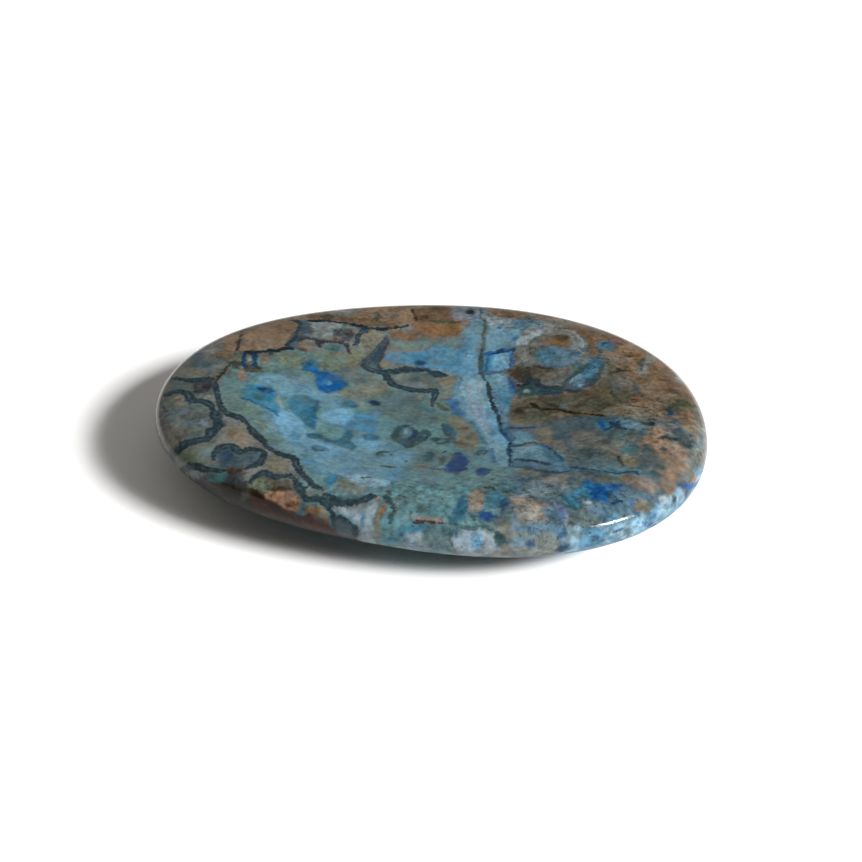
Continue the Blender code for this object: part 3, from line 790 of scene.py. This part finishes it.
# %% The polished agate
GLOSS_INDEX = 1.25
tree = agate.node_tree
shader = tree.nodes["Principled BSDF"]
shader.inputs["IOR"].default_value = GLOSS_INDEX
object_place = tree.nodes.new("ShaderNodeTexCoord").outputs["Object"]


def ramp(value, start, end, low=0.0, high=1.0):
    """Goes smoothly from low to high while the value goes from start to end."""
    node = place(value.socket.id_data, "ShaderNodeMapRange", Value=value,
                 From_Min=start, From_Max=end, To_Min=low, To_Max=high)
    node.interpolation_type = "SMOOTHSTEP"
    return Sum(node.outputs[0])


def grain(size_mm, detail, shift=0.0):
    """Noise from 0 to 1 with lumps of the given size. The shift in metres keeps two noises apart."""
    moved = place(tree, "ShaderNodeVectorMath", Vector=object_place)
    moved.inputs[1].default_value = (shift, shift, shift)
    noise = place(tree, "ShaderNodeTexNoise", Vector=moved.outputs[0], Scale=1 / (size_mm * MM), Detail=detail)
    return Sum(noise.outputs["Fac"])


def kept(name, output="Fac"):
    """A colour or number that the mesh carries."""
    node = tree.nodes.new("ShaderNodeAttribute")
    node.attribute_name = name
    return Sum(node.outputs[output])


def blend(amount, under, over, kind="MIX"):
    """Lays one colour over another."""
    node = tree.nodes.new("ShaderNodeMix")
    node.data_type = "RGBA"
    node.blend_type = kind
    for number, value in ((0, amount), (6, under), (7, over)):
        feed(node.inputs[number], value)
    return node.outputs[2]


# The face is polished like glass; the rim and the back have only had the wheel, which left them duller.
up_in_stone = Sum(place(tree, "ShaderNodeSeparateXYZ", Vector=object_place).outputs["Z"])
feed(shader.inputs["Roughness"], ramp(up_in_stone, 0.0048, 0.0058, 0.5, 0.05))

zone = kept("speck_zone")
rough = zone * 0.65 + 0.5
clouds = ramp(grain(1.3, 3.0), 0.3, 0.7, -0.32, 0.32) * rough + 1.0
flecks = ramp(grain(0.4, 3.0, 0.3), 0.3, 0.7, -0.32, 0.32) * rough + 1.0
drift = ramp(grain(1.8, 2.0, 0.7), 0.35, 0.65)
ground = blend(1.0, kept("ground", "Color"), blend(drift, (1.06, 1.0, 0.93, 1), (0.94, 1.0, 1.06, 1)), "MULTIPLY")

# Hair-fine dark seams run where a noise passes its middle, and dark specks lie in the zones marked for them.
seams = ramp((grain(1.5, 4.0, 1.7) - 0.5).by("ABSOLUTE"), 0.022, 0.0)
seams = seams * (ramp(grain(2.6, 1.0, 1.3), 0.4, 0.65) * (zone * 0.35 + 0.25))
specks = ramp(grain(0.5, 2.0, 2.1), 0.62, 0.70) * (zone * 0.75)
shade = clouds * flecks * ((1.0 - seams) * (1.0 - specks))
grey = place(tree, "ShaderNodeCombineColor", Red=shade, Green=shade, Blue=shade)
ground = blend(1.0, ground, grey.outputs[0], "MULTIPLY")

# The lines: ragged, worn here and there, with a lighter core and a dim halo where they are lace bands.
wobble = (grain(0.25, 4.0, 0.5) - 0.5) * 0.55 + (grain(0.9, 1.0, 0.2) - 0.5) * 0.30
away, half, lace = kept("line_away"), kept("line_half"), kept("line_core")
into_line = half - away + wobble
is_near = ramp(half, 0.005, 0.04)
inked = ramp(into_line, -0.15, 0.06) * is_near * kept("line_tone", "Alpha")
inked = inked * ramp(grain(0.7, 2.0, 0.9), 0.22, 0.45, 0.75, 1.0)
core = ramp(away / (half + 0.001), 0.42, 0.1) * (lace * ramp(grain(1.1, 1.0, 1.1), 0.42, 0.55))
mottle = blend(ramp(grain(0.35, 3.0, 0.4), 0.35, 0.65), (0.72, 0.65, 0.74, 1), (1.3, 1.25, 1.2, 1))
line_colour = blend(1.0, blend(core, kept("line_tone", "Color"), (0.10, 0.15, 0.17, 1)), mottle, "MULTIPLY")
halo = ramp(into_line, -0.32, -0.10) * (lace * is_near)
ground = blend(halo * 0.5, ground, (0.20, 0.20, 0.18, 1))
feed(shader.inputs["Base Color"], blend(inked, ground, line_colour))
print("the agate's tree has", len(tree.nodes), "nodes")

# %% The stone stands for its CAD node
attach(stone, "root")
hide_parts("worry_stone")

# %% Camera
CAMERA_DISTANCE = 136.15 * MM
CAMERA_AZIMUTH = math.radians(12.5)
CAMERA_ELEVATION = math.radians(32.0)
LOOK_AT = Vector((0.344, -1.296, 4.1)) * MM


def direction(azimuth, elevation):
    """The unit vector from the stone towards a place that is so far round from the front and so high."""
    return Vector((math.sin(azimuth) * math.cos(elevation), -math.cos(azimuth) * math.cos(elevation),
                   math.sin(elevation)))


def set_up(thing, middle, towards, distance):
    """Puts a camera or lamp at a distance from the middle and aims it there."""
    thing.location = middle + towards * distance
    thing.rotation_euler = towards.to_track_quat("Z", "Y").to_euler()


camera = added("camera", bpy.data.cameras.new("camera"))
camera.data.lens, camera.data.sensor_width = 70.0, 36.0
camera.data.clip_start, camera.data.clip_end = 0.01, 20.0
set_up(camera, LOOK_AT, direction(CAMERA_AZIMUTH, CAMERA_ELEVATION), CAMERA_DISTANCE)
scene.camera = camera
print("camera at", [round(v / MM, 1) for v in camera.location], "mm")

# %% Floor
FLOOR_REACH = 3.0
floor_mesh = bpy.data.meshes.new("floor")
floor_corners = [(x * FLOOR_REACH, y * FLOOR_REACH, 0) for x, y in ((-1, -1), (1, -1), (1, 1), (-1, 1))]
floor_mesh.from_pydata(floor_corners, [], [(0, 1, 2, 3)])
floor = added("floor", floor_mesh)
white = bpy.data.materials.new("white_card")
white.use_nodes = True
card = white.node_tree.nodes["Principled BSDF"].inputs
card["Base Color"].default_value = (0.85, 0.85, 0.85, 1)
card["Roughness"].default_value = 0.9
card["Specular IOR Level"].default_value = 0.0
floor_mesh.materials.append(white)

# %% Light
KEY_AZIMUTH = math.radians(90.0 - 21.7)
KEY_ELEVATION = math.radians(34.4)
LAMP_DISTANCE = 1.5
for name, width, height, watts in (("lamp", 0.36, 0.26, 33.0), ("lamp_panel", 0.60, 0.34, 13.0)):
    lamp = added(name, bpy.data.lights.new(name, "AREA"))
    lamp.data.shape = "RECTANGLE"
    lamp.data.size, lamp.data.size_y, lamp.data.energy = width, height, watts
    set_up(lamp, Vector(), direction(KEY_AZIMUTH, KEY_ELEVATION), LAMP_DISTANCE)

# The room: brighter overhead, and a warm glow low on the far left.
world = bpy.data.worlds.new("studio")
world.use_nodes = True
scene.world = world
tree = world.node_tree
sky = place(tree, "ShaderNodeSeparateXYZ", Vector=tree.nodes.new("ShaderNodeTexCoord").outputs["Generated"])
x, y, z = map(Sum, sky.outputs)
far_side = ramp(y - x * 0.9, -0.7, 0.9)
glow = place(tree, "ShaderNodeBackground", Color=(1.0, 0.94, 0.85, 1),
             Strength=ramp(z, 0.04, 0.45, 1.0, 0.0) * far_side * 0.24)
dim = tree.nodes["Background"]
dim.inputs["Color"].default_value = (1.0, 0.96, 0.91, 1)
feed(dim.inputs["Strength"], ramp(z, 0.45, 0.9, 0.10, 0.37))
both = tree.nodes.new("ShaderNodeAddShader")
feed(both.inputs[0], glow.outputs[0])
feed(both.inputs[1], dim.outputs[0])
feed(tree.nodes["World Output"].inputs["Surface"], both.outputs[0])
scene.view_settings.view_transform = "Standard"
